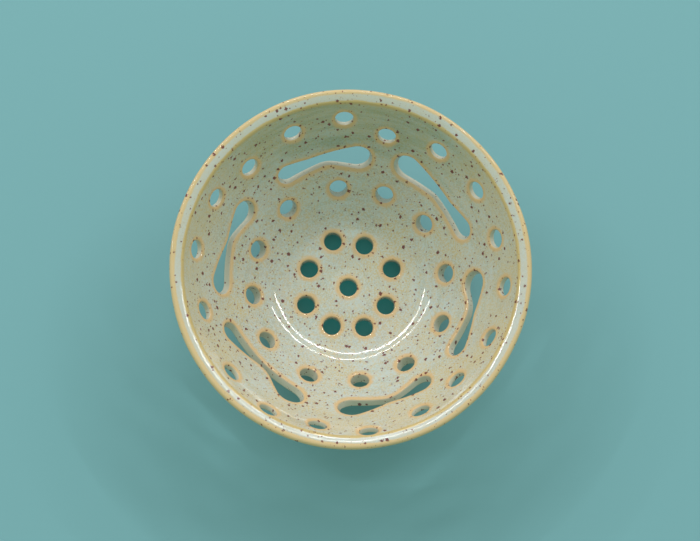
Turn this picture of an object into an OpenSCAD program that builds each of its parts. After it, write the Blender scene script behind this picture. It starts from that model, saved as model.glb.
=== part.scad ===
// Berry colander bowl: a wheel-thrown stoneware bowl with a rolled lip, pierced with three rings
// of round holes and a ring of six peanut-shaped slots. One coat of glaze covers it down to the
// turned foot, which is bare clay. Lengths are in millimetres. The bowl stands on its foot with
// its axis along Z, and azimuths are counted from the X axis towards the Y axis.

/* [Inside curve] */
// Radius of the flat middle of the floor
floor_r = 21; // [18:0.5:25]
// Radius of the bend from the floor to the wall
inner_bend_r = 40; // [34:1:46]
// Slope of the wall where the bend ends, in degrees
inner_bend_angle = 40; // [36:1:44]
// Radius of the wall's long inside curve
inner_wall_r = 121; // [110:1:130]
// Slope of the wall just below the lip, in degrees
rim_angle = 62; // [58:1:66]

/* [Outside curve] */
// Thickness of the floor
floor_t = 7; // [6:0.5:9]
// Radius of the flat underside
outer_flat_r = 19; // [16:0.5:22]
// Radius of the bend from the underside to the wall
outer_bend_r = 50; // [46:1:54]
// Slope of the outside where that bend ends, in degrees
outer_bend_angle = 49; // [47:1:51]
// Radius of the wall's long outside curve
outer_wall_r = 200; // [185:5:225]

/* [Lip] */
// Radius of the bowl over the lip
lip_r = 85; // [83:0.5:88]
// Width of the rolled lip
lip_w = 5.6; // [5:0.2:6.4]
// Radius of the lip's two rounded edges
lip_edge_r = 1.6; // [1.2:0.1:2]
// Height over which the lip thins down to the wall
lip_taper_h = 8; // [6:0.5:12]

/* [Foot] */
// Height of the floor's underside above the table
foot_h = 5.5; // [4:0.5:8]
// Outside radius of the foot where it stands
foot_r = 33; // [31:0.5:36]
// Width of the face that the bowl stands on
foot_w = 4; // [3:0.5:5]
// Amount by which each side of the foot widens towards the bowl
foot_flare = 1.2; // [0.6:0.1:2]
// Bevel turned on the foot's two edges
foot_bevel = 0.8; // [0.5:0.1:1.2]

/* [Glaze] */
// Thickness of the coat of glaze
glaze_t = 0.4; // [0.3:0.05:0.6]

/* [Round holes] */
// Radius of a round hole
hole_r = 4.4; // [3.8:0.1:4.8]
// Distance of the lowest ring of holes from the bowl's axis
floor_ring_r = 22; // [21:0.5:24]
// Distance of the middle ring of holes from the bowl's axis
middle_ring_r = 47.6; // [46:0.2:49]
// Distance of the upper ring of holes from the bowl's axis
upper_ring_r = 72.7; // [71.5:0.1:73.5]

/* [Slots] */
// Distance of the ring of slots from the bowl's axis
slot_ring_r = 60.2; // [59.5:0.1:61]
// Radius of a slot's round end, before its own share
slot_end_r = 6; // [5.4:0.1:6.4]
// Radius of the curves that draw in a slot's waist
slot_waist_r = 8; // [7:0.5:9]

/* [Hidden] */
$fn = 96;
// Overrun of every cut past the face that it opens
cut_over = 1;
// Reach of a slot's cut inwards, as a multiple of the wall that it cuts, because the wall
// curves inwards away from the middle of a slot
slot_reach_share = 2.5;
// Distance that the corners of a slot's belt lie inside its circles
belt_inset = 0.03;

// Azimuth in degrees and share of the ring's distance, for each hand-cut hole
floor_hole_shares = [
    [21, 1.04], [68, 0.97], [109, 1.05], [157, 0.95],
    [205, 1.04], [248, 0.99], [290, 1.01], [331, 0.95],
    [270, 0.05]];
middle_hole_shares = [
    [5, 0.99], [38, 0.98], [68, 0.98], [96, 0.98], [129, 0.98], [160, 0.98],
    [188, 0.98], [216, 1.02], [247, 1.04], [276, 1.02], [304, 1.02], [335, 1.03]];
upper_hole_shares = [
    [13, 0.98], [33, 0.99], [54, 0.99], [75, 0.95], [92, 1.01], [112, 0.99],
    [133, 0.96], [151, 1.00], [172, 1.01], [195, 0.98], [221, 1.01], [240, 1.05],
    [258, 1.02], [276, 1.05], [296, 1.01], [314, 0.98], [334, 1.00], [354, 1.01]];

// Each slot has a round end, a waist and another round end. For each of the three: its azimuth
// in degrees, its height up the wall from the slot ring and its half width, both as shares of
// slot_end_r. The last value leans the waist: degrees between its lower and its upper curve.
slot_shares = [
    [[86, -0.25, 1.08], [105, -0.35, 0.50], [120, -0.40, 0.83], 4],
    [[24, -0.22, 0.85], [41, -0.35, 0.48], [62, 0.10, 1.08], -4],
    [[-33, 0.25, 0.83], [-17, 0.05, 0.38], [-3, -0.10, 1.00], 0],
    [[271, 0.65, 1.07], [288, 0.42, 0.28], [303, 0.30, 0.85], 0],
    [[206, 0.47, 0.82], [226, -0.38, 0.24], [243, 0.62, 1.10], 0],
    [[148, -0.15, 0.97], [163, -0.12, 0.32], [182, 0.27, 0.95], 0]];

underside_z = foot_h;
floor_z = foot_h + floor_t;

// Outward normal of a curve that rises at the given slope, in the bowl's section
function normal(slope) = [sin(slope), -cos(slope)];
function along(slope) = [cos(slope), sin(slope)];

// Centres of the section's arcs. The inside and the outside are each a flat, a bend and a long
// curve, tangent where they meet.
inner_bend_c = [floor_r, floor_z + inner_bend_r];
inner_wall_c = inner_bend_c - (inner_wall_r - inner_bend_r) * normal(inner_bend_angle);
outer_bend_c = [outer_flat_r, underside_z + outer_bend_r];
outer_wall_c = outer_bend_c - (outer_wall_r - outer_bend_r) * normal(outer_bend_angle);

// The inside rises straight from the end of its long curve to the lip
inner_curve_end = inner_wall_c + inner_wall_r * normal(rim_angle);
lip_start_r = lip_r - lip_w;
lip_start = inner_curve_end + along(rim_angle) * (lip_start_r - inner_curve_end[0]) / cos(rim_angle);
inner_lip_c = lip_start + lip_edge_r * normal(rim_angle);
lip_z = inner_lip_c[1] + lip_edge_r;
outer_lip_c = [lip_r - lip_edge_r, lip_z - lip_edge_r];

// Slope of the outside where the lip's taper starts
taper_slope = acos((outer_wall_c[1] - (lip_z - lip_taper_h)) / outer_wall_r);

// Slope and height of the glazed inside at a distance from the axis
function inner_slope(r) =
    r < floor_r ? 0 :
    r < inner_bend_c[0] + inner_bend_r * sin(inner_bend_angle) ? asin((r - floor_r) / inner_bend_r) :
    r < inner_curve_end[0] ? asin((r - inner_wall_c[0]) / inner_wall_r) :
    rim_angle;
function inner_z(r) =
    r < floor_r ? floor_z :
    r < inner_bend_c[0] + inner_bend_r * sin(inner_bend_angle) ?
        inner_bend_c[1] - inner_bend_r * cos(inner_slope(r)) :
    r < inner_curve_end[0] ? inner_wall_c[1] - inner_wall_r * cos(inner_slope(r)) :
    inner_curve_end[1] + (r - inner_curve_end[0]) * tan(rim_angle);

// Distance from a point in a direction to the far side of a circle
function to_circle(p, d, c, r) =
    let (b = (p - c) * d)
    -b + sqrt(b * b - (p - c) * (p - c) + r * r);

// Thickness of the glazed wall, square to the inside, at a distance from the axis
function wall_t(r) =
    let (
        p = [r, inner_z(r)],
        d = normal(inner_slope(r)),
        bend_t = to_circle(p, d, outer_bend_c, outer_bend_r),
        wall_curve_t = to_circle(p, d, outer_wall_c, outer_wall_r),
        foot_point = p + d * bend_t,
        slope = atan2(foot_point[0] - outer_bend_c[0], outer_bend_c[1] - foot_point[1])
    )
    slope < 0 ? (p[1] - underside_z) / cos(inner_slope(r)) :
    slope < outer_bend_angle ? bend_t :
    wall_curve_t;

// Point where the line from p touches a circle on the side away from the axis
function touch_outside(p, c, r) =
    let (
        v = c - p,
        reach = norm(v),
        turn = asin(r / reach),
        heading = atan2(v[1], v[0]) - turn
    )
    p + along(heading) * sqrt(reach * reach - r * r);

// Slice of a circle between two slopes, cut off by the chord between them
module arc_slice(c, r, from, to) {
    a = c + r * normal(from);
    b = c + r * normal(to);
    push = r * normal((from + to) / 2);
    intersection() {
        translate(c) circle(r);
        polygon([a, a + push, b + push, b]);
    }
}

// Hollow of the bowl. The skin is how deep the section lies under the surface of the glaze.
module hollow_section(skin) {
    bend = inner_bend_r + skin;
    wall = inner_wall_r + skin;
    lip_touch = inner_lip_c - (lip_edge_r - skin) * normal(rim_angle);
    polygon([
        [0, floor_z - skin],
        [floor_r, floor_z - skin],
        inner_bend_c + bend * normal(inner_bend_angle),
        inner_wall_c + wall * normal(rim_angle),
        lip_touch,
        [lip_touch[0], lip_z + cut_over],
        [0, lip_z + cut_over]]);
    arc_slice(inner_bend_c, bend, 0, inner_bend_angle);
    arc_slice(inner_wall_c, wall, inner_bend_angle, rim_angle);
}

// Outline of the bowl without its hollow
module body_section(skin) {
    bend = outer_bend_r - skin;
    wall = outer_wall_r - skin;
    edge = lip_edge_r - skin;
    taper_start = outer_wall_c + wall * normal(taper_slope);
    polygon([
        [0, underside_z + skin],
        [outer_flat_r, underside_z + skin],
        outer_bend_c + bend * normal(outer_bend_angle),
        taper_start,
        touch_outside(taper_start, outer_lip_c, edge),
        outer_lip_c,
        outer_lip_c + [0, edge],
        inner_lip_c + [0, edge],
        inner_lip_c,
        inner_lip_c - edge * normal(rim_angle),
        [0, lip_start[1]]]);
    arc_slice(outer_bend_c, bend, 0, outer_bend_angle);
    arc_slice(outer_wall_c, wall, outer_bend_angle, taper_slope);
    translate(inner_lip_c) circle(edge);
    translate(outer_lip_c) circle(edge);
}

module wall_section(skin) {
    difference() {
        body_section(skin);
        hollow_section(skin);
    }
}

// Puts a cut on the inside of the wall, with its Z axis pointing out through the wall, its X
// axis round the bowl and its Y axis up the wall
module on_wall(azimuth, r) {
    rotate([0, 0, azimuth])
        translate([r, 0, inner_z(r)])
            rotate([180 - inner_slope(r), 0, 90])
                children();
}

// Round hole, punched square through the wall
module hole_cut(depth) {
    translate([0, 0, -cut_over])
        cylinder(h = depth + 2 * cut_over, r = hole_r);
}

module hole_ring(ring_r, shares) {
    for (place = shares)
        on_wall(place[0], ring_r * place[1]) hole_cut(wall_t(ring_r * place[1]));
}

// The wall is nearly a cone at the slots, so their outlines are drawn on that cone laid flat
slot_slope = inner_slope(slot_ring_r);
slot_cone_r = slot_ring_r / cos(slot_slope);
function laid_flat(turn, climb) =
    let (a = turn * cos(slot_slope))
    [(slot_cone_r + climb) * sin(a), (slot_cone_r + climb) * cos(a) - slot_cone_r];

// The two ends of the line that touches circle c1 on its one side and c2 on its other
function cross_touch(c1, r1, c2, r2, side) =
    let (
        v = c2 - c1,
        swing = atan2(v[1], v[0]) + side * acos((r1 + r2) / norm(v))
    )
    [c1 + r1 * along(swing), c2 - r2 * along(swing)];

// Outline of a slot, like a belt: round both ends, and drawn in by a curve on either side. The
// belt's corners lie a little inside the circles, so that each straight cuts them cleanly.
module slot_outline(slot) {
    middle = slot[1][0];
    near = laid_flat(slot[0][0] - middle, slot[0][1] * slot_end_r);
    far = laid_flat(slot[2][0] - middle, slot[2][1] * slot_end_r);
    near_r = slot[0][2] * slot_end_r;
    far_r = slot[2][2] * slot_end_r;
    waist = slot[1][1] * slot_end_r;
    spread = slot[1][2] * slot_end_r + slot_waist_r;
    lower = laid_flat(-slot[3], waist - spread);
    upper = laid_flat(slot[3], waist + spread);
    near_hold = near_r - belt_inset;
    far_hold = far_r - belt_inset;
    waist_hold = slot_waist_r - belt_inset;
    belt = concat(
        cross_touch(near, near_hold, lower, waist_hold, -1),
        cross_touch(lower, waist_hold, far, far_hold, 1),
        cross_touch(far, far_hold, upper, waist_hold, -1),
        cross_touch(upper, waist_hold, near, near_hold, 1));
    difference() {
        union() {
            polygon(belt);
            translate(near) circle(near_r);
            translate(far) circle(far_r);
        }
        translate(lower) circle(slot_waist_r);
        translate(upper) circle(slot_waist_r);
    }
}

module slot_cuts() {
    depth = wall_t(slot_ring_r);
    reach = slot_reach_share * depth;
    for (slot = slot_shares)
        on_wall(slot[1][0], slot_ring_r)
            translate([0, 0, -reach])
                linear_extrude(reach + depth + cut_over) slot_outline(slot);
}

module pierce() {
    hole_ring(floor_ring_r, floor_hole_shares);
    hole_ring(middle_ring_r, middle_hole_shares);
    hole_ring(upper_ring_r, upper_hole_shares);
    slot_cuts();
}

// Section of the foot, up to inside the floor, before the bowl is cut out of it
foot_top_z = floor_z - glaze_t;
foot_top_r = foot_r + foot_flare;
foot_top_w = foot_w + 2 * foot_flare;
module foot_blank() {
    polygon([
        [foot_r - foot_w + foot_bevel, 0],
        [foot_r - foot_bevel, 0],
        [foot_r, foot_bevel],
        [foot_top_r, underside_z],
        [foot_top_r, foot_top_z],
        [foot_top_r - foot_top_w, foot_top_z],
        [foot_top_r - foot_top_w, underside_z],
        [foot_r - foot_w, foot_bevel]]);
}

// Clay floor, wall and lip
module thrown_bowl() {
    color("tan")
        difference() {
            rotate_extrude() wall_section(glaze_t);
            pierce();
        }
}

// Turned foot of bare clay, cut to the bowl's underside
module foot_ring() {
    color("peru")
        rotate_extrude()
            difference() {
                foot_blank();
                body_section(glaze_t);
            }
}

// Glaze on the inside, over the lip and down the outside. Inside the foot the clay is bare.
module glaze_section() {
    difference() {
        wall_section(0);
        wall_section(glaze_t);
        square([foot_top_r, underside_z + floor_t / 2]);
    }
}

// Coat of glaze, wiped out of the holes
module glaze_coat() {
    color("lightsteelblue")
        difference() {
            rotate_extrude() glaze_section();
            pierce();
        }
}

thrown_bowl();
foot_ring();
glaze_coat();
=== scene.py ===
import math
import bpy
import bmesh
import numpy as np
from mathutils import Matrix, Vector, kdtree
from mathutils.geometry import delaunay_2d_cdt


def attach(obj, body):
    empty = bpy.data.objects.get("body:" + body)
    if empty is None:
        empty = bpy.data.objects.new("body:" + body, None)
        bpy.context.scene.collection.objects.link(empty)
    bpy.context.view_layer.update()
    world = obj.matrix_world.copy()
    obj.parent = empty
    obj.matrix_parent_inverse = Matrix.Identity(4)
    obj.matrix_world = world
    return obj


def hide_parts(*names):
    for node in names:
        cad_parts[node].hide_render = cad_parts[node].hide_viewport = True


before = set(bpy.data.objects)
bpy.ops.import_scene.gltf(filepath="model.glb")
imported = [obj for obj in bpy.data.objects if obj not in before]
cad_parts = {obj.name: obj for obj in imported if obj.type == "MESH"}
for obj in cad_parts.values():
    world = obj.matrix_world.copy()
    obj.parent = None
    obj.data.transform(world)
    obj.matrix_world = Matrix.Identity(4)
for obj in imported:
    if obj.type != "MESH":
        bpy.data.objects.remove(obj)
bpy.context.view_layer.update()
mm = 0.001
print("frame loaded:", ", ".join(sorted(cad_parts)))

# the bowl's section, in millimetres and degrees
bowl = {
    # the inside and the lip's ends follow the frame, and the outside curve lies a little inside the frame's
    "floorRadius": 21, "innerBend": 40, "innerBendAngle": 40, "innerWall": 121, "rimAngle": 62,
    "floorThickness": 7, "outerFlat": 18, "outerBend": 50, "outerBendAngle": 52, "outerWall": 250,
    "lipRadius": 85, "lipWidth": 5.6, "lipEdge": 1.6, "lipTaper": 8, "footHeight": 5.5,
    # the lip's inner edge, the two slopes between which it leans, its unevenness and how far its sides
    # are drawn in
    "lipInnerEdge": 0.6, "lipLean": (28, 16), "lipWave": 0.3, "oval": 0.9,
    # distances between points, points round the rim and rows of them over the lip
    "sectionStep": 0.25, "lipStep": 0.12, "meshStep": 1.25, "rimPoints": 440, "lipRows": 22,
    # the soft edges of the cuts and the rows of points on each
    "softEdgeInside": 0.9, "softEdgeOutside": 1.0, "softRows": 5,
    # bare clay on the underside up to this run from the middle
    "bareRun": 31,
}
# the hand-thrown unevenness of the lip: a slow noise round the bowl, from this height up, in metres
unevenness = {"seed": 3.7, "scale": 1.6, "detail": 1.5, "roughness": 0.45, "low": 0.3, "high": 0.7,
              "fromHeight": 0.02, "fall": 0.5}
cuts = {
    "holeRadius": 4.3, "holeSides": 40,
    # azimuth in degrees and share of the ring's distance from the axis
    "floorRing": 22,
    "floorShares": [(21, 1.04), (68, 0.97), (109, 1.05), (157, 0.95), (205, 1.04), (248, 0.99),
                    (290, 1.01), (331, 0.95), (270, 0.05)],
    "middleRing": 47.6,
    "middleShares": [(5, 0.99), (38, 0.98), (68, 0.98), (96, 0.98), (129, 0.98), (160, 0.98),
                     (188, 0.98), (216, 1.02), (247, 1.04), (276, 1.02), (304, 1.02), (335, 1.03)],
    "upperRing": 72.7,
    "upperShares": [(13, 0.98), (33, 0.99), (54, 0.99), (75, 0.95), (92, 1.01), (112, 0.99),
                    (133, 0.96), (151, 1.00), (172, 1.01), (195, 0.98), (221, 1.01), (240, 1.05),
                    (258, 1.02), (276, 1.05), (296, 1.01), (314, 0.98), (334, 1.00), (354, 1.01)],
    # each slot: azimuth, climb and half width of its end, waist and other end, then its lean
    "slotRing": 60.2, "slotEnd": 6, "slotLowerWaist": 13, "slotUpperWaist": 12,
    "slotShares": [((86, -0.25, 1.08), (105, -0.35, 0.50), (120, -0.40, 0.83), 4),
                   ((24, -0.22, 0.85), (41, -0.35, 0.48), (62, 0.10, 1.08), -4),
                   ((-33, 0.25, 0.83), (-17, 0.05, 0.38), (-3, -0.10, 1.00), 0),
                   ((271, 0.65, 1.07), (288, 0.42, 0.28), (303, 0.30, 0.85), 0),
                   ((206, 0.47, 0.82), (226, -0.38, 0.24), (243, 0.62, 1.10), 0),
                   ((148, -0.15, 0.97), (163, -0.12, 0.32), (182, 0.27, 0.95), 0)],
    # points round a slot's end and waist, and the distance between those on its straights
    "endPoints": 24, "waistPoints": 16, "straightStep": 1.0,
    # how far from the inside surface a rim is looked for, and in how many halvings
    "reach": 14.0, "halvings": 45,
}
# points of the flat sheets: rings outside each rim, the room that they keep, and where the even rings
# that fill the rest have the rim's own count
sheetPoints = {"margins": (0.5, 1.15, 2.0), "fromEdge": 0.8, "ownShare": 0.7, "fromOther": 0.4,
               "fillGap": 0.75, "fullCountShare": 0.55, "merge": 1e-6, "farGap": 30}


# small helpers
def paint(red, green, blue):
    # a screen colour, 0 to 255, as Blender's own linear values
    def linear(v):
        v /= 255
        return v / 12.92 if v <= 0.04045 else ((v + 0.055) / 1.055) ** 2.4
    return (linear(red), linear(green), linear(blue), 1.0)


def put(tree, kind, inputs=None, **settings):
    # adds a node; an input takes a value or the output of another node
    node = tree.nodes.new(kind)
    for name, value in settings.items():
        setattr(node, name, value)
    for key, value in (inputs or {}).items():
        if isinstance(value, bpy.types.NodeSocket):
            tree.links.new(value, node.inputs[key])
        else:
            node.inputs[key].default_value = value
    return node


def calc(tree, operation, *values):
    return put(tree, "ShaderNodeMath", dict(enumerate(values)), operation=operation).outputs[0]


def times(tree, first, *others):
    for other in others:
        first = calc(tree, "MULTIPLY", first, other)
    return first


def ramp(tree, value, low, high, toLow=0.0, toHigh=1.0):
    # goes smoothly from toLow to toHigh while value goes from low to high
    node = put(tree, "ShaderNodeMapRange", {0: value, 1: low, 2: high, 3: toLow, 4: toHigh},
               interpolation_type="SMOOTHSTEP")
    return node.outputs[0]


def normal(slope):
    a = math.radians(slope)
    return np.array([math.sin(a), -math.cos(a)])


def along(slope):
    a = math.radians(slope)
    return np.array([math.cos(a), math.sin(a)])


def arc(centre, radius, start, end, step):
    # points on a circle between two directions in degrees, from +X towards +Y
    count = max(2, int(abs(math.radians(end - start)) * radius / step) + 1)
    turn = np.radians(np.linspace(start, end, count))
    return np.stack([centre[0] + radius * np.cos(turn), centre[1] + radius * np.sin(turn)], 1)


def straight(start, end):
    count = max(2, int(np.linalg.norm(np.subtract(end, start)) / bowl["sectionStep"]) + 1)
    return np.linspace(start, end, count)


def joined(parts):
    # one line of points without doubles, and the length along it
    line = np.concatenate(parts)
    line = line[np.r_[True, np.linalg.norm(np.diff(line, axis=0), axis=1) > 1e-4]]
    length = np.r_[0, np.cumsum(np.linalg.norm(np.diff(line, axis=0), axis=1))]
    return line, length


# the circles of the section: each bend's centre, and where the lip starts, tops out and ends
floorHeight = bowl["footHeight"] + bowl["floorThickness"]
wallWay = along(bowl["rimAngle"])
innerBendCentre = np.array([bowl["floorRadius"], floorHeight + bowl["innerBend"]])
innerWallCentre = (innerBendCentre
                   - (bowl["innerWall"] - bowl["innerBend"]) * normal(bowl["innerBendAngle"]))
outerBendCentre = np.array([bowl["outerFlat"], bowl["footHeight"] + bowl["outerBend"]])
outerWallCentre = (outerBendCentre
                   - (bowl["outerWall"] - bowl["outerBend"]) * normal(bowl["outerBendAngle"]))
curveEnd = innerWallCentre + bowl["innerWall"] * normal(bowl["rimAngle"])
lipStart = curveEnd + wallWay * (
    bowl["lipRadius"] - bowl["lipWidth"] - curveEnd[0]) / math.cos(math.radians(bowl["rimAngle"]))
lipTop = lipStart[1] + bowl["lipEdge"] * (1 - math.cos(math.radians(bowl["rimAngle"])))
lipOut = np.array([bowl["lipRadius"] - bowl["lipEdge"], lipTop - bowl["lipEdge"]])
# the lip leans inwards: a small edge up from the inside, a long flat curve, then the outer edge. The
# flat curve's radius is the one that makes the three meet the inside wall.
leanLow, leanHigh = bowl["lipLean"]
edgeSpan = bowl["lipInnerEdge"] * (normal(bowl["rimAngle"]) - normal(leanLow))
leanSpan = normal(leanLow) - normal(leanHigh)
outerSpan = bowl["lipEdge"] * (normal(leanHigh) - normal(0))
gapLeft = np.array([lipOut[0], lipTop]) - outerSpan - edgeSpan - lipStart
leanRadius = ((gapLeft[0] * wallWay[1] - gapLeft[1] * wallWay[0])
              / (leanSpan[0] * wallWay[1] - leanSpan[1] * wallWay[0]))
rollStart = np.array([lipOut[0], lipTop]) - outerSpan - edgeSpan - leanRadius * leanSpan
edgeCentre = rollStart + bowl["lipInnerEdge"] * normal(bowl["rimAngle"])
leanStart = edgeCentre - bowl["lipInnerEdge"] * normal(leanLow)
leanCentre = leanStart + leanRadius * normal(leanLow)
taperSlope = math.degrees(math.acos((outerWallCentre[1] - (lipTop - bowl["lipTaper"])) / bowl["outerWall"]))
taperStart = outerWallCentre + bowl["outerWall"] * normal(taperSlope)
lipReach = lipOut - taperStart
touchHeading = math.degrees(math.atan2(lipReach[1], lipReach[0])
                            - math.asin(bowl["lipEdge"] / np.linalg.norm(lipReach)))

step, lipStep = bowl["sectionStep"], bowl["lipStep"]
insideLine, insideLength = joined([
    straight((0, floorHeight), (bowl["floorRadius"], floorHeight)),
    arc(innerBendCentre, bowl["innerBend"], -90, -90 + bowl["innerBendAngle"], step),
    arc(innerWallCentre, bowl["innerWall"], -90 + bowl["innerBendAngle"], -90 + bowl["rimAngle"], step),
    straight(curveEnd, rollStart)])
lipLine, _ = joined([
    arc(edgeCentre, bowl["lipInnerEdge"], 90 + bowl["rimAngle"], 90 + leanLow, lipStep),
    arc(leanCentre, leanRadius, 90 + leanLow, 90 + leanHigh, lipStep),
    arc(lipOut, bowl["lipEdge"], 90 + leanHigh, touchHeading - 90, lipStep)])
outsideLine, outsideLength = joined([  # from the axis up to the lip
    straight((0, bowl["footHeight"]), (bowl["outerFlat"], bowl["footHeight"])),
    arc(outerBendCentre, bowl["outerBend"], -90, -90 + bowl["outerBendAngle"], step),
    arc(outerWallCentre, bowl["outerWall"], -90 + bowl["outerBendAngle"], -90 + taperSlope, step),
    straight(taperStart, lipLine[-1])])
sectionLine, sectionLength = joined([insideLine, lipLine, outsideLine[::-1]])
insideEnd, outsideEnd, wholeRun = insideLength[-1], outsideLength[-1], sectionLength[-1]
print("section drawn: the lip's flat curve has radius", round(leanRadius, 2))


# objects, live modifiers and node trees
def curveObject(name, line):
    data = bpy.data.curves.new(name, "CURVE")
    data.dimensions = "3D"
    spline = data.splines.new("POLY")
    spline.points.add(len(line) - 1)
    for point, (r, z) in zip(spline.points, line):
        point.co = (r * mm, 0, z * mm, 1)
    made = bpy.data.objects.new(name, data)
    bpy.context.collection.objects.link(made)
    return made


def meshObject(name, points, faces, attributes=None):
    data = bpy.data.meshes.new(name)
    data.from_pydata([tuple(p) for p in points], [], faces)
    for key, values in (attributes or {}).items():
        layer = data.attributes.new(key, "FLOAT", "POINT")
        layer.data.foreach_set("value", np.asarray(values, np.float32))
    made = bpy.data.objects.new(name, data)
    bpy.context.collection.objects.link(made)
    return made


def evaluated(made):
    # the plain mesh that a live modifier gives
    graph = bpy.context.evaluated_depsgraph_get()
    return bpy.data.meshes.new_from_object(made.evaluated_get(graph), preserve_all_data_layers=True,
                                           depsgraph=graph)


def setInput(modifier, name, value):
    for item in modifier.node_group.interface.items_tree:
        if item.item_type == "SOCKET" and item.in_out == "INPUT" and item.name == name:
            modifier[item.identifier] = value
            return
    raise KeyError(name)


def newTree(name, inputs):
    tree = bpy.data.node_groups.new(name, "GeometryNodeTree")
    tree.interface.new_socket("Geometry", in_out="INPUT", socket_type="NodeSocketGeometry")
    for label, kind in inputs:
        tree.interface.new_socket(label, in_out="INPUT", socket_type=kind)
    tree.interface.new_socket("Geometry", in_out="OUTPUT", socket_type="NodeSocketGeometry")
    return tree, tree.nodes.new("NodeGroupInput"), tree.nodes.new("NodeGroupOutput")


def named(tree, label, kind="FLOAT"):
    return put(tree, "GeometryNodeInputNamedAttribute", {"Name": label}, data_type=kind).outputs[0]


def finishTree(tree, source, target, geometry):
    # real points and the material, then out
    real = put(tree, "GeometryNodeRealizeInstances", {"Geometry": geometry})
    dressed = put(tree, "GeometryNodeSetMaterial", {
        "Geometry": real.outputs[0], "Material": source.outputs["Material"]})
    tree.links.new(dressed.outputs[0], target.inputs[0])


glazeFinish = bpy.data.materials.new("speckledGlaze")
clayFinish = bpy.data.materials.new("bareClay")


# where the cuts go
def wallFrame(azimuth, r):
    # a point of the inside surface, with the directions round the bowl, up the wall and outwards
    here = np.interp(r, insideLine[:, 0], insideLength)
    z = np.interp(r, insideLine[:, 0], insideLine[:, 1])
    near = 0.3  # how far to each side the slope is taken
    before, after = [np.array([np.interp(here + d, insideLength, insideLine[:, axis]) for axis in (0, 1)])
                     for d in (-near, near)]
    slope = math.atan2(after[1] - before[1], after[0] - before[0])
    a = math.radians(azimuth)
    out = np.array([math.cos(a), math.sin(a), 0])
    up = np.array([0, 0, 1])
    return (out * r + up * z, np.array([-math.sin(a), math.cos(a), 0]),
            out * math.cos(slope) + up * math.sin(slope), out * math.sin(slope) - up * math.cos(slope))


# round holes: one circle for each point, turned square to the wall
holeTree, source, target = newTree("roundHoles", [
    ("Sides", "NodeSocketInt"), ("Radius", "NodeSocketFloat"), ("Material", "NodeSocketMaterial")])
ringShape = put(holeTree, "GeometryNodeMeshCircle", {
    "Vertices": source.outputs["Sides"], "Radius": source.outputs["Radius"]})
facing = put(holeTree, "FunctionNodeAlignRotationToVector",
             {"Vector": named(holeTree, "outwards", "FLOAT_VECTOR")}, axis="Z")
placed = put(holeTree, "GeometryNodeInstanceOnPoints", {
    "Points": source.outputs["Geometry"], "Instance": ringShape.outputs[0], "Rotation": facing.outputs[0]})
finishTree(holeTree, source, target, placed.outputs[0])

holeFrames = [wallFrame(azimuth, cuts[ring + "Ring"] * share)
              for ring in ("floor", "middle", "upper") for azimuth, share in cuts[ring + "Shares"]]
holePoints = meshObject("holePoints", [f[0] * mm for f in holeFrames], [])
holePoints.data.attributes.new("outwards", "FLOAT_VECTOR", "POINT").data.foreach_set(
    "vector", np.concatenate([f[3] for f in holeFrames]).astype(np.float32))
punch = holePoints.modifiers.new("roundHoles", "NODES")
punch.node_group = holeTree
setInput(punch, "Sides", cuts["holeSides"])
setInput(punch, "Radius", cuts["holeRadius"] * mm)
setInput(punch, "Material", clayFinish)
holeMesh = evaluated(holePoints)
holeRims = np.zeros(len(holeMesh.vertices) * 3)
holeMesh.vertices.foreach_get("co", holeRims)
holeRims = holeRims.reshape(len(holeFrames), cuts["holeSides"], 3) / mm
bpy.data.objects.remove(holePoints)
bpy.data.meshes.remove(holeMesh)


def crossTouch(c1, r1, c2, r2, side):
    # heading from c1 at which a line touches one circle on its one side and the other on its other
    v = c2 - c1
    return (math.degrees(math.atan2(v[1], v[0]))
            + side * math.degrees(math.acos((r1 + r2) / np.linalg.norm(v))))


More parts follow.
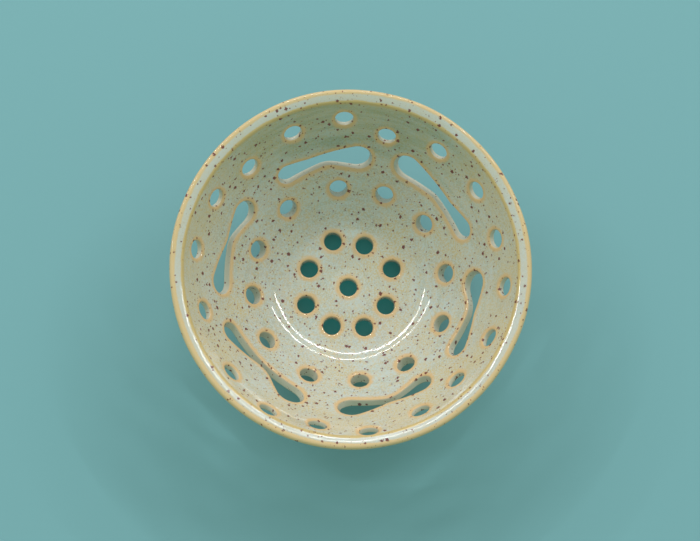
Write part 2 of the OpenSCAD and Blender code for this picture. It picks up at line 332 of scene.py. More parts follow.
def slotOutline(slot):
    # points and outward directions round a slot, on the wall's cone laid flat
    ring, end = cuts["slotRing"], cuts["slotEnd"]
    lowerRadius, upperRadius = cuts["slotLowerWaist"], cuts["slotUpperWaist"]
    slope = math.acos(wallFrame(0, ring)[2][0])
    coneRadius = ring / math.cos(slope)

    def laidFlat(turn, climb):
        a = math.radians(turn) * math.cos(slope)
        return np.array([(coneRadius + climb) * math.sin(a), (coneRadius + climb) * math.cos(a) - coneRadius])

    middle = slot[1][0]
    near = laidFlat(slot[0][0] - middle, slot[0][1] * end)
    far = laidFlat(slot[2][0] - middle, slot[2][1] * end)
    nearRadius, farRadius = slot[0][2] * end, slot[2][2] * end
    waist, halfWaist = slot[1][1] * end, slot[1][2] * end
    lower = laidFlat(-slot[3], waist - halfWaist - lowerRadius)
    upper = laidFlat(slot[3], waist + halfWaist + upperRadius)
    a1 = crossTouch(near, nearRadius, lower, lowerRadius, -1)
    a2 = crossTouch(lower, lowerRadius, far, farRadius, 1)
    a3 = crossTouch(far, farRadius, upper, upperRadius, -1)
    a4 = crossTouch(upper, upperRadius, near, nearRadius, 1)
    points, ways = [], []

    def sweep(centre, radius, start, end, count, sign):
        for turn in np.linspace(start, end, count):
            way = along(turn)
            points.append(centre + radius * way)
            ways.append(way * sign)

    def spanUp(start, end):
        while end < start:
            end += 360
        return end

    # anticlockwise: round the near end, past the lower waist, round the far end, past the upper waist
    endCount, waistCount = cuts["endPoints"], cuts["waistPoints"]
    sweep(near, nearRadius, a4 + 180, spanUp(a4 + 180, a1), endCount, 1)
    sweep(lower, lowerRadius, a1 + 180, a1 + 180 - ((a1 + 180 - a2) % 360), waistCount, -1)
    sweep(far, farRadius, a2 + 180, spanUp(a2 + 180, a3), endCount, 1)
    sweep(upper, upperRadius, a3 + 180, a3 + 180 - ((a3 + 180 - a4) % 360), waistCount, -1)
    # the straights get points of their own
    full, fullWays = [], []
    for i in range(len(points)):
        j = (i + 1) % len(points)
        full.append(points[i])
        fullWays.append(ways[i])
        pieces = int(np.linalg.norm(points[j] - points[i]) / cuts["straightStep"])
        for k in range(1, pieces):
            full.append(points[i] * (1 - k / pieces) + points[j] * (k / pieces))
            fullWays.append(ways[i])
    return np.array(full), np.array(fullWays)


class Cut:
    # an opening through the wall: its rim in the plane square to the cut, grown or shrunk by any amount
    def __init__(self, place, points, ways):
        self.centre, self.across, self.up, self.out = place
        self.points, self.ways = points, ways

    def rim(self, grow, surface):
        # where the rim, grown by that much, meets a surface: its run along the section and its azimuth
        line, length = surface
        flat = self.points + grow * self.ways
        start = self.centre + flat[:, :1] * self.across + flat[:, 1:] * self.up
        low, high = np.full(len(flat), -cuts["reach"]), np.full(len(flat), cuts["reach"])
        for _ in range(cuts["halvings"]):
            mid = (low + high) / 2
            p = start + mid[:, None] * self.out
            above = p[:, 2] > np.interp(np.hypot(p[:, 0], p[:, 1]), line[:, 0], line[:, 1])
            low, high = np.where(above, mid, low), np.where(above, high, mid)
        r = np.hypot(p[:, 0], p[:, 1])
        return np.interp(r, line[:, 0], length), np.arctan2(p[:, 1], p[:, 0])


allCuts = []
for place, rim in zip(holeFrames, holeRims):
    offset = rim - place[0]
    local = np.stack([offset @ place[1], offset @ place[2]], 1)
    local = local[np.argsort(np.arctan2(local[:, 1], local[:, 0]))]
    allCuts.append(Cut(place, local, local / np.linalg.norm(local, axis=1)[:, None]))
for slot in cuts["slotShares"]:
    outline, ways = slotOutline(slot)
    allCuts.append(Cut(wallFrame(slot[1][0], cuts["slotRing"]), outline, ways))
print("cuts laid out:", len(allCuts))


# the pierced sheets, laid flat
def inLoop(point, loop):
    x, y = loop[:, 0], loop[:, 1]
    x2, y2 = np.roll(x, -1), np.roll(y, -1)
    crosses = (y > point[1]) != (y2 > point[1])
    with np.errstate(divide="ignore", invalid="ignore"):
        at = x + (point[1] - y) * (x2 - x) / (y2 - y)
    return np.count_nonzero(crosses & (at > point[0])) % 2 == 1


def piercedSheet(surface, end, soft):
    # triangles over a disc whose radius is the run along the section, with the cuts left open
    margins = sheetPoints["margins"]
    loops, near = [], []
    for cut in allCuts:
        rings = []
        for grow in (soft,) + tuple(soft + m for m in margins):
            run, azimuth = cut.rim(grow, surface)
            rings.append(np.stack([run * np.cos(azimuth), run * np.sin(azimuth)], 1))
        loops.append(rings[0])
        near.append(rings[1:])
    tree = kdtree.KDTree(sum(len(loop) for loop in loops))
    owner = []
    for i, loop in enumerate(loops):
        for p in loop:
            tree.insert((p[0], p[1], 0), len(owner))
            owner.append(i)
    tree.balance()

    def nearestRim(p):
        # distance to the nearest rim, its number, and whether the point is clear of its opening
        _, index, gap = tree.find((p[0], p[1], 0))
        return gap, owner[index], not inLoop(p, loops[owner[index]])

    turns = np.linspace(0, 2 * math.pi, bowl["rimPoints"], endpoint=False)
    points = [(end * math.cos(t), end * math.sin(t)) for t in turns]
    edges, rims = [(i, (i + 1) % len(turns)) for i in range(len(turns))], []
    for loop in loops:
        first = len(points)
        points += [tuple(p) for p in loop]
        edges += [(first + i, first + (i + 1) % len(loop)) for i in range(len(loop))]
        rims.append(range(first, len(points)))
    # rings of points that follow each rim, left out where they come close to another cut or the edge
    for i, rings in enumerate(near):
        for margin, ring in zip(margins, rings):
            for p in ring:
                gap, nearest, clear = nearestRim(p)
                offEdge = math.hypot(*p) < end - sheetPoints["fromEdge"]
                if offEdge and clear and gap > margin * sheetPoints["ownShare"]:
                    if nearest == i or gap > margin + sheetPoints["fromOther"]:
                        points.append(tuple(p))
    # even rings elsewhere
    meshStep = bowl["meshStep"]
    ringCount = int(end / meshStep)
    for k in range(1, ringCount):
        radius = k * end / ringCount
        count = max(6, int(round(2 * math.pi * radius / meshStep / 6)) * 6)
        if radius > end * sheetPoints["fullCountShare"]:
            count = bowl["rimPoints"]
        for n in range(count):
            t = 2 * math.pi * (n + 0.5 * (k % 2)) / count
            p = (radius * math.cos(t), radius * math.sin(t))
            gap, _, clear = nearestRim(p)
            if gap > margins[-1] + sheetPoints["fillGap"] and clear:
                points.append(p)
    _, _, tris, ids, _, _ = delaunay_2d_cdt(
        [Vector(p) for p in points], edges, [], 0, sheetPoints["merge"], True)
    if not all(ids):
        raise ValueError("a cut's rim reaches another rim or the sheet's edge")
    loopOf = {v: i for i, rim in enumerate(rims) for v in rim}
    faces = []
    for tri in tris:
        tri = [ids[v][0] for v in tri]
        shared = {loopOf.get(v, -1) for v in tri}
        if len(shared) == 1 and -1 not in shared:
            if inLoop(np.mean([points[v] for v in tri], axis=0), loops[shared.pop()]):
                continue
        faces.append(tri)
    gaps = np.array([tree.find((p[0], p[1], 0))[2] for p in points])
    for rim in rims:
        gaps[list(rim)] = 0
    return np.array(points), faces, rims, gaps


insideSurface, outsideSurface = (insideLine, insideLength), (outsideLine, outsideLength)
insideSheet = piercedSheet(insideSurface, insideEnd, bowl["softEdgeInside"])
outsideSheet = piercedSheet(outsideSurface, outsideEnd, bowl["softEdgeOutside"])
print("sheets pierced:", len(insideSheet[1]), "and", len(outsideSheet[1]), "triangles")

# everything goes into one list of points: run along the section, azimuth, depth under the surface
# and distance from the nearest cut
runs, azimuths, depths, gaps, faces, bare = [], [], [], [], [], []


def addPoints(run, azimuth, depth, gap):
    first = sum(len(r) for r in runs)
    run = np.asarray(run, float)
    for values, more in ((runs, run), (azimuths, azimuth), (depths, depth), (gaps, gap)):
        values.append(np.asarray(more, float) + 0 * run)
    return first


def addBand(first, second, count):
    for i in range(count):
        j = (i + 1) % count
        faces.append((first + i, first + j, second + j, second + i))


sheetStart = []
for (points, triangles, rims, gap), outside in ((insideSheet, False), (outsideSheet, True)):
    run = np.hypot(points[:, 0], points[:, 1])
    start = addPoints(wholeRun - run if outside else run, np.arctan2(points[:, 1], points[:, 0]), 0, gap)
    sheetStart.append(start)
    for tri in triangles:
        if outside:
            if all(run[v] < bowl["bareRun"] for v in tri):
                bare.append(len(faces))
            tri = tri[::-1]
        faces.append(tuple(start + v for v in tri))

# the lip joins the two sheets
rimCount, lipRows = bowl["rimPoints"], bowl["lipRows"]
rimTurns = np.linspace(0, 2 * math.pi, rimCount, endpoint=False)
last = sheetStart[0]
for k in range(1, lipRows):
    run = insideEnd + (wholeRun - outsideEnd - insideEnd) * k / lipRows
    first = addPoints(np.full(rimCount, run), rimTurns, 0, sheetPoints["farGap"])
    addBand(last, first, rimCount)
    last = first
addBand(last, sheetStart[1], rimCount)

# the walls of the cuts, with their edges rounded over at both faces. Inside a cut the distance from it
# is minus the number of the row.
softRows = bowl["softRows"]
for i, cut in enumerate(allCuts):
    count = len(cut.points)
    ends = []
    for sheet, surface, soft, start, outside in (
            (insideSheet, insideSurface, bowl["softEdgeInside"], sheetStart[0], False),
            (outsideSheet, outsideSurface, bowl["softEdgeOutside"], sheetStart[1], True)):
        last = start + sheet[2][i][0]
        for k in range(1, softRows + 1):
            turn = math.pi / 2 * k / softRows
            run, azimuth = cut.rim(soft * (1 - math.sin(turn)), surface)
            first = addPoints(wholeRun - run if outside else run, azimuth, soft * (1 - math.cos(turn)), -k)
            addBand(last, first, count)
            last = first
        ends.append(last)
    addBand(ends[0], ends[1], count)

runs, azimuths, depths, gaps = map(np.concatenate, (runs, azimuths, depths, gaps))
laidOut = np.stack([runs * np.cos(azimuths), runs * np.sin(azimuths), -depths], 1) * mm
pattern = meshObject("bowlPattern", laidOut, faces, {
    "run": runs * mm, "azimuth": azimuths, "depth": depths * mm, "gap": gaps})
sectionCurve = curveObject("bowlSection", sectionLine)

# the tree throws the flat pattern on the bowl's section
throwTree, source, target = newTree("throwBowl", [
    ("Section", "NodeSocketObject"), ("Lip Height", "NodeSocketFloat"), ("Wave", "NodeSocketFloat"),
    ("Oval", "NodeSocketFloat"), ("Material", "NodeSocketMaterial")])
section = put(throwTree, "GeometryNodeObjectInfo", {"Object": source.outputs["Section"]},
              transform_space="ORIGINAL")
sample = put(throwTree, "GeometryNodeSampleCurve", {
    "Curves": section.outputs["Geometry"], "Length": named(throwTree, "run")}, mode="LENGTH")
place = put(throwTree, "ShaderNodeSeparateXYZ", {0: sample.outputs["Position"]})
heading = put(throwTree, "ShaderNodeSeparateXYZ", {0: sample.outputs["Tangent"]})
depth = named(throwTree, "depth")
outwards = calc(throwTree, "MULTIPLY_ADD", depth, heading.outputs["Z"], place.outputs["X"])
height = calc(throwTree, "SUBTRACT", place.outputs["Z"], times(throwTree, depth, heading.outputs["X"]))
cosine = calc(throwTree, "COSINE", named(throwTree, "azimuth"))
sine = calc(throwTree, "SINE", named(throwTree, "azimuth"))
# a hand-thrown lip isn't quite round or level: it only ever falls short of the true circle
wander = put(throwTree, "ShaderNodeTexNoise", {
    "Vector": put(throwTree, "ShaderNodeCombineXYZ", {0: cosine, 1: sine}).outputs[0],
    "W": unevenness["seed"], "Scale": unevenness["scale"], "Detail": unevenness["detail"],
    "Roughness": unevenness["roughness"]}, noise_dimensions="4D")
upness = ramp(throwTree, height, unevenness["fromHeight"], source.outputs["Lip Height"])
waver = times(throwTree, upness, times(throwTree, source.outputs["Wave"], ramp(
    throwTree, wander.outputs[0], unevenness["low"], unevenness["high"])))
outwards = calc(throwTree, "SUBTRACT", outwards, waver)
height = calc(throwTree, "SUBTRACT", height, times(throwTree, waver, unevenness["fall"]))
# and it is drawn in at its two sides, so that it is a little oval
drawnIn = times(throwTree, source.outputs["Oval"], times(throwTree, cosine, cosine))
outwards = calc(throwTree, "SUBTRACT", outwards, times(throwTree, upness, drawnIn))
spot = put(throwTree, "ShaderNodeCombineXYZ", {
    0: times(throwTree, outwards, cosine), 1: times(throwTree, outwards, sine), 2: height})
raised = put(throwTree, "GeometryNodeSetPosition", {
    "Geometry": source.outputs["Geometry"], "Position": spot.outputs[0]})
finishTree(throwTree, source, target, raised.outputs[0])

throwing = pattern.modifiers.new("throwBowl", "NODES")
throwing.node_group = throwTree
setInput(throwing, "Section", sectionCurve)
setInput(throwing, "Lip Height", lipTop * mm)
setInput(throwing, "Wave", bowl["lipWave"] * mm)
setInput(throwing, "Oval", bowl["oval"] * mm)
setInput(throwing, "Material", glazeFinish)
bowlMesh = evaluated(pattern)
bowlMesh.name = "glazedBowl"
bpy.data.objects.remove(pattern)
bpy.data.objects.remove(sectionCurve)

shape = bmesh.new()
shape.from_mesh(bowlMesh)
openEdges = sum(1 for e in shape.edges if len(e.link_faces) != 2)
bmesh.ops.recalc_face_normals(shape, faces=shape.faces)
for face in shape.faces:
    face.smooth = True
shape.to_mesh(bowlMesh)
volume = shape.calc_volume(signed=True) / mm ** 3
shape.free()
bowlMesh.materials.clear()
bowlMesh.materials.append(glazeFinish)
bowlMesh.materials.append(clayFinish)
for index in bare:
    bowlMesh.polygons[index].material_index = 1
glazedBowl = bpy.data.objects.new("glazedBowl", bowlMesh)
bpy.context.collection.objects.link(glazedBowl)
print("bowl thrown:", len(bowlMesh.polygons), "faces,", openEdges, "open edges, volume", round(volume))


# the turned foot, in millimetres. Its top lies inside the bowl's floor, and its inside has a shoulder.
foot = {"height": 5.5, "radius": 33, "width": 4, "flare": 1.2, "bevel": 0.8, "into": 3.0, "shoulder": 1.2,
        "softCorner": 0.3, "hiddenCorner": 0.02, "sides": 192}


def turnedFoot():
    outer, inner = foot["radius"], foot["radius"] - foot["width"]
    wide = foot["flare"]
    top = foot["height"] + foot["into"]
    corners = [(inner + foot["bevel"], 0), (outer - foot["bevel"], 0), (outer, foot["bevel"]),
               (outer + wide, foot["height"]), (outer + wide, top),
               (inner - wide, foot["height"] + foot["shoulder"]), (inner - wide, foot["height"]),
               (inner, foot["bevel"])]
    atTheTable = (0, 1, 2, 7)
    # each corner becomes three points, rounder where it shows near the table
    line = []
    for i, corner in enumerate(corners):
        before, after = np.array(corners[i - 1]), np.array(corners[(i + 1) % len(corners)])
        here = np.array(corner, float)
        cut = foot["softCorner"] if i in atTheTable else foot["hiddenCorner"]
        a = here + (before - here) / np.linalg.norm(before - here) * cut
        b = here + (after - here) / np.linalg.norm(after - here) * cut
        line += [a, (a + b) / 4 + here / 2, b]
    points, quads = [], []
    for k in range(foot["sides"]):
        t = 2 * math.pi * k / foot["sides"]
        points += [(r * math.cos(t) * mm, r * math.sin(t) * mm, z * mm) for r, z in line]
    n = len(line)
    for k in range(foot["sides"]):
        a, b = k * n, (k + 1) % foot["sides"] * n
        quads += [(a + i, b + i, b + (i + 1) % n, a + (i + 1) % n) for i in range(n)]
    made = meshObject("turnedFoot", points, quads)
    shape = bmesh.new()
    shape.from_mesh(made.data)
    bmesh.ops.recalc_face_normals(shape, faces=shape.faces)
    for face in shape.faces:
        face.smooth = True
    shape.to_mesh(made.data)
    shape.free()
    made.data.materials.append(clayFinish)
    return made


footPiece = turnedFoot()
print("foot turned")

# finishes. A field is a noise: its scale per metre, detail, roughness and seed, then the two values that
# its ramp goes between and, where they aren't 0 and 1, the two that the ramp gives.
glaze = {
    "ground": (190, 188, 178), "mist": (197, 208, 206), "sand": (206, 186, 138), "olive": (160, 160, 120),
    # the tone (202, 202, 188) on the next line is painted light on the walls inside the cuts
    # the tone (96, 138, 110) on the next line is painted shade for the far side of the inside wall
    "warm": (204, 186, 140), "paintedShade": (96, 138, 110), "break": (217, 181, 129), "paintedThroatLight": (202, 202, 188),
    "innerTan": (204, 176, 112), "lipPale": (196, 203, 201), "lipTan": (216, 186, 134),
    "roughness": 0.07, "ior": 1.5,
    "clouds": (45, 3, 0.55, 1.3, 0.36, 0.66), "sandiness": (38, 3, 0.6, 5.1, 0.46, 0.72),
    "streaks": (330, 3, 0.6, 2.2, 0.36, 0.68), "mottle": (620, 2, 0.6, 7.7, 0.38, 0.64),
    "fine": (1350, 2, 0.5, 4.4, 0.4, 0.62), "warmth": (60, 2, 0.5, 11.0, 0.3, 0.6, 0.1, 0.42),
    "lipDrift": (14, 1, 0.5, 15.0, 0.3, 0.7, -0.5, 0.5), "gathered": (70, 2, 0.6, 3.3, 0.35, 0.65, 0.45, 1.6),
    # plain noises that shift an edge, with how far in millimetres
    "lipRagged": (160, 2, 0.5, 9.0), "lipRaggedBy": 1.2, "cutRagged": (420, 2, 0.5, 6.0), "cutRaggedBy": 1.8,
    # what is laid over the ground in turn: field, cover and colour
    "layers": [("streaks", 0.45, "olive"), ("sandiness", 0.88, "sand"), ("mottle", 0.68, "sand"),
               ("fine", 0.76, "mist")],
    # how far along the section it turns warm, and where the far side's painted shade lies: run in millimetres
    # and metres along Y
    "warmRun": (66, 92), "paintedShadeRun": (62, 76), "paintedShadeFade": 1, "paintedShadeSide": (0.035, 0.068),
    "paintedShadeCover": 0.22, "paintedShadeStreak": 0.2,
    # the lip's bands, as runs from its start, and their covers
    "tanStart": (-2.0, -0.2), "paleStart": (0.6, 1.4), "paleEnd": (3.5, 4.5), "tanEnd": (12, 20),
    "paleCover": 0.52, "tanCover": 0.85,
    # the tan edge of the cuts as distances from them, and the rows inside a cut that are its throat, which is
    # painted pale as painted light
    "breakRange": (0.1, 2.3), "breakCover": 0.85, "paintedThroatLightRows": (-4.2, -2.6), "paintedThroatLightCover": 0.8,
    # iron specks: cells per metre, share of cells with a speck, smallest and largest radius in mm,
    # colour, cover
    "specks": [(264, 0.72, 0.50, 0.98, (110, 48, 48), 0.93), (350, 0.80, 0.28, 0.58, (120, 60, 52), 0.88),
               (500, 0.62, 0.18, 0.38, (144, 86, 64), 0.85)],
    # metres between the sizes' patterns, the wobble of their outlines and the softness of their edges
    "speckShift": (0.31, 0.17, 0.11), "wobbleScale": 5, "wobbleBy": 0.0014, "speckEdge": (0.7, 1.1),
    # the surface's noises with their heights, and the bump's depth in metres
    "lowWaves": (110, 2, 0.45, 8.0), "lowHeight": 0.35, "ringWaves": (260, 1, 0.4, 12.0), "ringHeight": 0.25,
    "bump": 0.0003, "ringStretch": 0.12,
}
clay = {
    "body": (206, 176, 138), "pale": (222, 198, 164), "dark": (150, 112, 80), "speck": (88, 56, 42),
    "roughness": (0.62, 0.82), "roughGrain": (0.3, 0.7), "darkGrain": (0.55, 0.75, 0, 0.35),
    "patches": (90, 3, 0.6, 3.0, 0.35, 0.7), "grooves": (1100, 2, 0.5, 2.0), "grain": (2600, 2, 0.6, 5.0),
    "turnStretch": 0.05, "cells": 420, "speckEdge": (0.16, 0.26), "speckShare": 0.25, "speckCover": 0.8,
    "bump": 0.0003, "bumpStrength": 0.7, "grainHeight": 0.3,
}


def startMaterial(material):
    material.use_nodes = True
    tree = material.node_tree
    tree.nodes.clear()
    out = tree.nodes.new("ShaderNodeOutputMaterial")
    shader = tree.nodes.new("ShaderNodeBsdfPrincipled")
    tree.links.new(shader.outputs[0], out.inputs[0])
    return tree, shader


def mix(tree, amount, a, b):
    # the mix node's sockets for colours are 0, 6 and 7
    return put(tree, "ShaderNodeMix", {0: amount, 6: a, 7: b}, data_type="RGBA").outputs[2]


def noise(tree, where, scale, detail, rough, seed):
    return put(tree, "ShaderNodeTexNoise", {
        "Vector": where, "W": seed, "Scale": scale, "Detail": detail, "Roughness": rough},
        noise_dimensions="4D").outputs[0]


def field(tree, where, values):
    return ramp(tree, noise(tree, where, *values[:4]), *values[4:])


def shiftBy(tree, where, values, distance):
    # a noise about zero, in millimetres
    return times(tree, calc(tree, "SUBTRACT", noise(tree, where, *values), 0.5), distance)


def roundness(tree, spread):
    # x squared plus y squared
    return calc(tree, "ADD", times(tree, spread.outputs[0], spread.outputs[0]),
                times(tree, spread.outputs[1], spread.outputs[1]))


tree, shader = startMaterial(glazeFinish)
here = put(tree, "ShaderNodeTexCoord").outputs["Object"]
gapValue = put(tree, "ShaderNodeAttribute", attribute_name="gap").outputs["Fac"]
runValue = put(tree, "ShaderNodeAttribute", attribute_name="run").outputs["Fac"]
spread = put(tree, "ShaderNodeSeparateXYZ", {0: here})
runMm = calc(tree, "MULTIPLY", runValue, 1000)
# places along the throwing rings: the run counts far more than the way round
ringPlace = put(tree, "ShaderNodeCombineXYZ", {
    0: times(tree, spread.outputs[0], glaze["ringStretch"]),
    1: times(tree, spread.outputs[1], glaze["ringStretch"]), 2: runValue}).outputs[0]
masks = {name: field(tree, ringPlace if name == "streaks" else here, glaze[name])
         for name in ("clouds", "sandiness", "streaks", "mottle", "fine")}
colour = mix(tree, masks["clouds"], paint(*glaze["ground"]), paint(*glaze["mist"]))


def lay(mask, cover, tone):
    # lays a colour over what is there so far; no cover means the mask as it is
    amount = mask if cover is None else times(tree, mask, cover)
    return mix(tree, amount, colour, paint(*tone))


for name, cover, tone in glaze["layers"]:
    colour = lay(masks[name], cover, glaze[tone])
# thinner and warmer towards the lip
warmer = times(tree, ramp(tree, runMm, *glaze["warmRun"]), field(tree, here, glaze["warmth"]))
colour = lay(warmer, None, glaze["warm"])
# painted shade: on the far side, high on the inside, the glaze colour is darkened greener, in bands
farSidePaintedShade = times(tree, ramp(tree, spread.outputs[1], *glaze["paintedShadeSide"]), ramp(tree, runMm, *glaze["paintedShadeRun"]),
                ramp(tree, runMm, insideEnd - glaze["paintedShadeFade"], insideEnd, 1, 0),
                calc(tree, "MULTIPLY_ADD", masks["streaks"], glaze["paintedShadeStreak"], glaze["paintedShadeCover"]))
colour = lay(farSidePaintedShade, None, glaze["paintedShade"])
# the glaze thins and breaks to tan on the lip's two edges and round every cut
lipRun = calc(tree, "SUBTRACT", calc(
    tree, "ADD", runMm, shiftBy(tree, here, glaze["lipRagged"], glaze["lipRaggedBy"])), insideEnd)
# the outer band comes and goes slowly round the lip
outerRun = calc(tree, "ADD", lipRun, field(tree, here, glaze["lipDrift"]))
lipPale = times(tree, ramp(tree, lipRun, *glaze["paleStart"]), ramp(tree, outerRun, *glaze["paleEnd"], 1, 0))
innerTan = times(tree, ramp(tree, lipRun, *glaze["tanStart"]), ramp(tree, lipRun, *glaze["paleStart"], 1, 0))
outerTan = times(tree, ramp(tree, outerRun, *glaze["paleEnd"]), ramp(tree, outerRun, *glaze["tanEnd"], 1, 0))
colour = lay(lipPale, glaze["paleCover"], glaze["lipPale"])
colour = lay(innerTan, glaze["tanCover"], glaze["innerTan"])
colour = lay(outerTan, glaze["tanCover"], glaze["lipTan"])
ragged = calc(tree, "ADD", gapValue, shiftBy(tree, here, glaze["cutRagged"], glaze["cutRaggedBy"]))
colour = lay(ramp(tree, ragged, *glaze["breakRange"], 1, 0), glaze["breakCover"], glaze["break"])
# painted light: the throat inside each cut is painted pale, as if it caught the lamps
colour = lay(ramp(tree, gapValue, *glaze["paintedThroatLightRows"], 1, 0), glaze["paintedThroatLightCover"], glaze["paintedThroatLight"])
# iron specks, in three sizes, gathered here and there
gathered = field(tree, here, glaze["gathered"])
for count, (scale, share, smallest, largest, tone, cover) in enumerate(glaze["specks"]):
    moved = put(tree, "ShaderNodeVectorMath", {0: here, 1: tuple(s * count for s in glaze["speckShift"])},
                operation="ADD").outputs[0]
    wobble = put(tree, "ShaderNodeTexNoise", {
        "Vector": moved, "Scale": scale * glaze["wobbleScale"], "Detail": 1.0})
    shifted = put(tree, "ShaderNodeVectorMath", {0: wobble.outputs[1], 1: (0.5, 0.5, 0.5)},
                  operation="SUBTRACT").outputs[0]
    shifted = put(tree, "ShaderNodeVectorMath", {0: shifted, "Scale": largest * glaze["wobbleBy"]},
                  operation="SCALE").outputs[0]
    moved = put(tree, "ShaderNodeVectorMath", {0: moved, 1: shifted}, operation="ADD").outputs[0]
    cells = put(tree, "ShaderNodeTexVoronoi", {"Vector": moved, "Scale": scale, "Randomness": 1.0})
    pick = put(tree, "ShaderNodeSeparateColor", {0: cells.outputs["Color"]})
    chosen = calc(tree, "LESS_THAN", pick.outputs[0], times(tree, gathered, share))
    size = ramp(tree, pick.outputs[1], 0, 1, smallest * scale * mm, largest * scale * mm)
    dot = ramp(tree, calc(tree, "DIVIDE", cells.outputs["Distance"], size), *glaze["speckEdge"], cover, 0)
    colour = lay(times(tree, dot, chosen), None, tone)
tree.links.new(colour, shader.inputs["Base Color"])
shader.inputs["Roughness"].default_value = glaze["roughness"]
shader.inputs["IOR"].default_value = glaze["ior"]

# the surface: soft unevenness and throwing rings
heightValue = calc(tree, "ADD", times(tree, noise(tree, here, *glaze["lowWaves"]), glaze["lowHeight"]),
                   times(tree, noise(tree, ringPlace, *glaze["ringWaves"]), glaze["ringHeight"]))
bump = put(tree, "ShaderNodeBump", {"Strength": 1.0, "Distance": glaze["bump"], "Height": heightValue})
tree.links.new(bump.outputs[0], shader.inputs["Normal"])

tree, shader = startMaterial(clayFinish)
here = put(tree, "ShaderNodeTexCoord").outputs["Object"]
spread = put(tree, "ShaderNodeSeparateXYZ", {0: here})
# places along the turning grooves
turned = put(tree, "ShaderNodeCombineXYZ", {
    0: times(tree, spread.outputs[0], clay["turnStretch"]),
    1: times(tree, spread.outputs[1], clay["turnStretch"]),
    2: calc(tree, "ADD", spread.outputs[2], calc(tree, "SQRT", roundness(tree, spread)))}).outputs[0]
grooves = noise(tree, turned, *clay["grooves"])
grain = noise(tree, here, *clay["grain"])
colour = mix(tree, field(tree, here, clay["patches"]), paint(*clay["body"]), paint(*clay["pale"]))
colour = mix(tree, ramp(tree, grain, *clay["darkGrain"]), colour, paint(*clay["dark"]))
cells = put(tree, "ShaderNodeTexVoronoi", {"Vector": here, "Scale": clay["cells"], "Randomness": 1.0})
pick = put(tree, "ShaderNodeSeparateColor", {0: cells.outputs["Color"]})
dots = times(tree, ramp(tree, cells.outputs["Distance"], *clay["speckEdge"], 1, 0),
             calc(tree, "LESS_THAN", pick.outputs[0], clay["speckShare"]))
colour = mix(tree, times(tree, dots, clay["speckCover"]), colour, paint(*clay["speck"]))
tree.links.new(colour, shader.inputs["Base Color"])
tree.links.new(ramp(tree, grain, *clay["roughGrain"], *clay["roughness"]), shader.inputs["Roughness"])
bump = put(tree, "ShaderNodeBump", {
    "Strength": clay["bumpStrength"], "Distance": clay["bump"],
    "Height": calc(tree, "ADD", grooves, times(tree, grain, clay["grainHeight"]))})
tree.links.new(bump.outputs[0], shader.inputs["Normal"])
print("finishes mixed")

# the pieces on the frame
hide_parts("thrown_bowl", "glaze_coat")
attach(glazedBowl, "root")
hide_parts("foot_ring")
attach(footPiece, "root")

# floor, light and camera, in metres and degrees
studio = {
    "floor": (121, 172, 179), "floorRoughness": 0.85, "floorSize": 6, "floorDrop": 0.0002,
    # the room's strength, and its colour in front of the bowl and behind it
    "world": 0.62, "frontRoom": (0.60, 0.85, 0.66, 1), "backRoom": (0.98, 0.97, 0.96, 1), "roomBlend": 0.7,
    # the small lamp under the bowl: power, colour, width and height
    "underWatts": 0.0012, "underTint": (0.02, 0.88, 0.76), "underWidth": 0.056, "underHeight": 0.004,
    # two arcs of narrow lamps behind the bowl: height angle, first and last azimuth, count, watts each
    "arcs": [(44, 33, 150, 6, 4.25), (35.3, 42, 142, 5, 3.4)],
    "lampDistance": 2.5, "lampWidth": 0.034, "lampOverlap": 1.04, "lampAim": (0, 0, 0.04),
}
# the camera's place is the lip's middle in its own axes, in lip radii
view = {"lens": 92.57, "sensor": 36, "tilt": -10.1, "roll": 1.38, "lipMiddle": (0.0050, -0.0215, 9.810),
        "lipHeight": 63.82, "clip": (0.01, 50)}

bpy.ops.mesh.primitive_plane_add(size=studio["floorSize"], location=(0, 0, -studio["floorDrop"]))
table = bpy.context.active_object
table.name = "tableTop"
tableFinish = bpy.data.materials.new("paleTable")
tree, shader = startMaterial(tableFinish)
shader.inputs["Base Color"].default_value = paint(*studio["floor"])
shader.inputs["Roughness"].default_value = studio["floorRoughness"]
table.data.materials.append(tableFinish)

world = bpy.data.worlds.new("softRoom")
bpy.context.scene.world = world
world.use_nodes = True
tree = world.node_tree
side = put(tree, "ShaderNodeSeparateXYZ", {0: put(tree, "ShaderNodeTexCoord").outputs["Generated"]})
roomColour = mix(tree, ramp(tree, side.outputs[1], -studio["roomBlend"], studio["roomBlend"]),
                 studio["frontRoom"], studio["backRoom"])
tree.links.new(roomColour, tree.nodes["Background"].inputs[0])
tree.nodes["Background"].inputs[1].default_value = studio["world"]


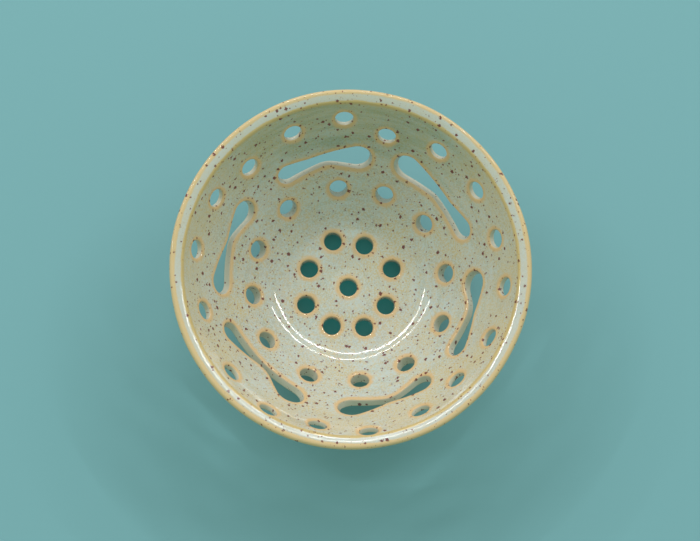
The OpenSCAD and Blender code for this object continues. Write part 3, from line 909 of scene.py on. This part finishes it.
def areaLamp(name, place, aim, width, height, watts, tint=(1, 1, 1), shape="RECTANGLE"):
    data = bpy.data.lights.new(name, "AREA")
    data.shape = shape
    data.size, data.size_y = width, height
    data.energy = watts
    data.color = tint
    lamp = bpy.data.objects.new(name, data)
    lamp.location = place
    lamp.rotation_euler = (Vector(aim) - Vector(place)).to_track_quat("-Z", "Y").to_euler()
    bpy.context.collection.objects.link(lamp)
    return lamp


aim, far = Vector(studio["lampAim"]), studio["lampDistance"]
for arcNumber, (rise, first, last, count, watts) in enumerate(studio["arcs"]):
    between = (last - first) / (count - 1)
    length = (2 * far * math.cos(math.radians(rise)) * math.tan(math.radians(between / 2))
              * studio["lampOverlap"])
    for k in range(count):
        a, e = math.radians(first + (last - first) * k / (count - 1)), math.radians(rise)
        way = Vector((math.cos(a) * math.cos(e), math.sin(a) * math.cos(e), math.sin(e)))
        areaLamp(f"strip{arcNumber}_{k}", aim + way * far, aim, length, studio["lampWidth"], watts)

# a little light on the table inside the foot, so that the floor's holes aren't black
under = areaLamp("underLamp", (0, 0, studio["underHeight"]), (0, 0, 0), studio["underWidth"],
                 studio["underWidth"], studio["underWatts"], studio["underTint"], "DISK")
under.visible_camera = False

cameraData = bpy.data.cameras.new("camera")
cameraData.lens = view["lens"]
cameraData.sensor_width = view["sensor"]
camera = bpy.data.objects.new("camera", cameraData)
bpy.context.collection.objects.link(camera)
tilt, roll = math.radians(view["tilt"]), math.radians(view["roll"])
turnX = np.array([[1, 0, 0], [0, math.cos(tilt), -math.sin(tilt)], [0, math.sin(tilt), math.cos(tilt)]])
turnY = np.array([[math.cos(roll), 0, math.sin(roll)], [0, 1, 0], [-math.sin(roll), 0, math.cos(roll)]])
seen = np.diag([1, -1, -1]) @ (turnY @ turnX)
spot = (-seen.T @ (np.array(view["lipMiddle"]) * bowl["lipRadius"] * mm)
        + np.array([0, 0, view["lipHeight"] * mm]))
columns = np.stack([seen[0], -seen[1], -seen[2]], 1)
camera.matrix_world = Matrix([list(columns[i]) + [spot[i]] for i in range(3)] + [[0, 0, 0, 1]])
cameraData.clip_start, cameraData.clip_end = view["clip"]
bpy.context.scene.camera = camera
bpy.context.scene.view_settings.view_transform = "Standard"
print("studio lit")
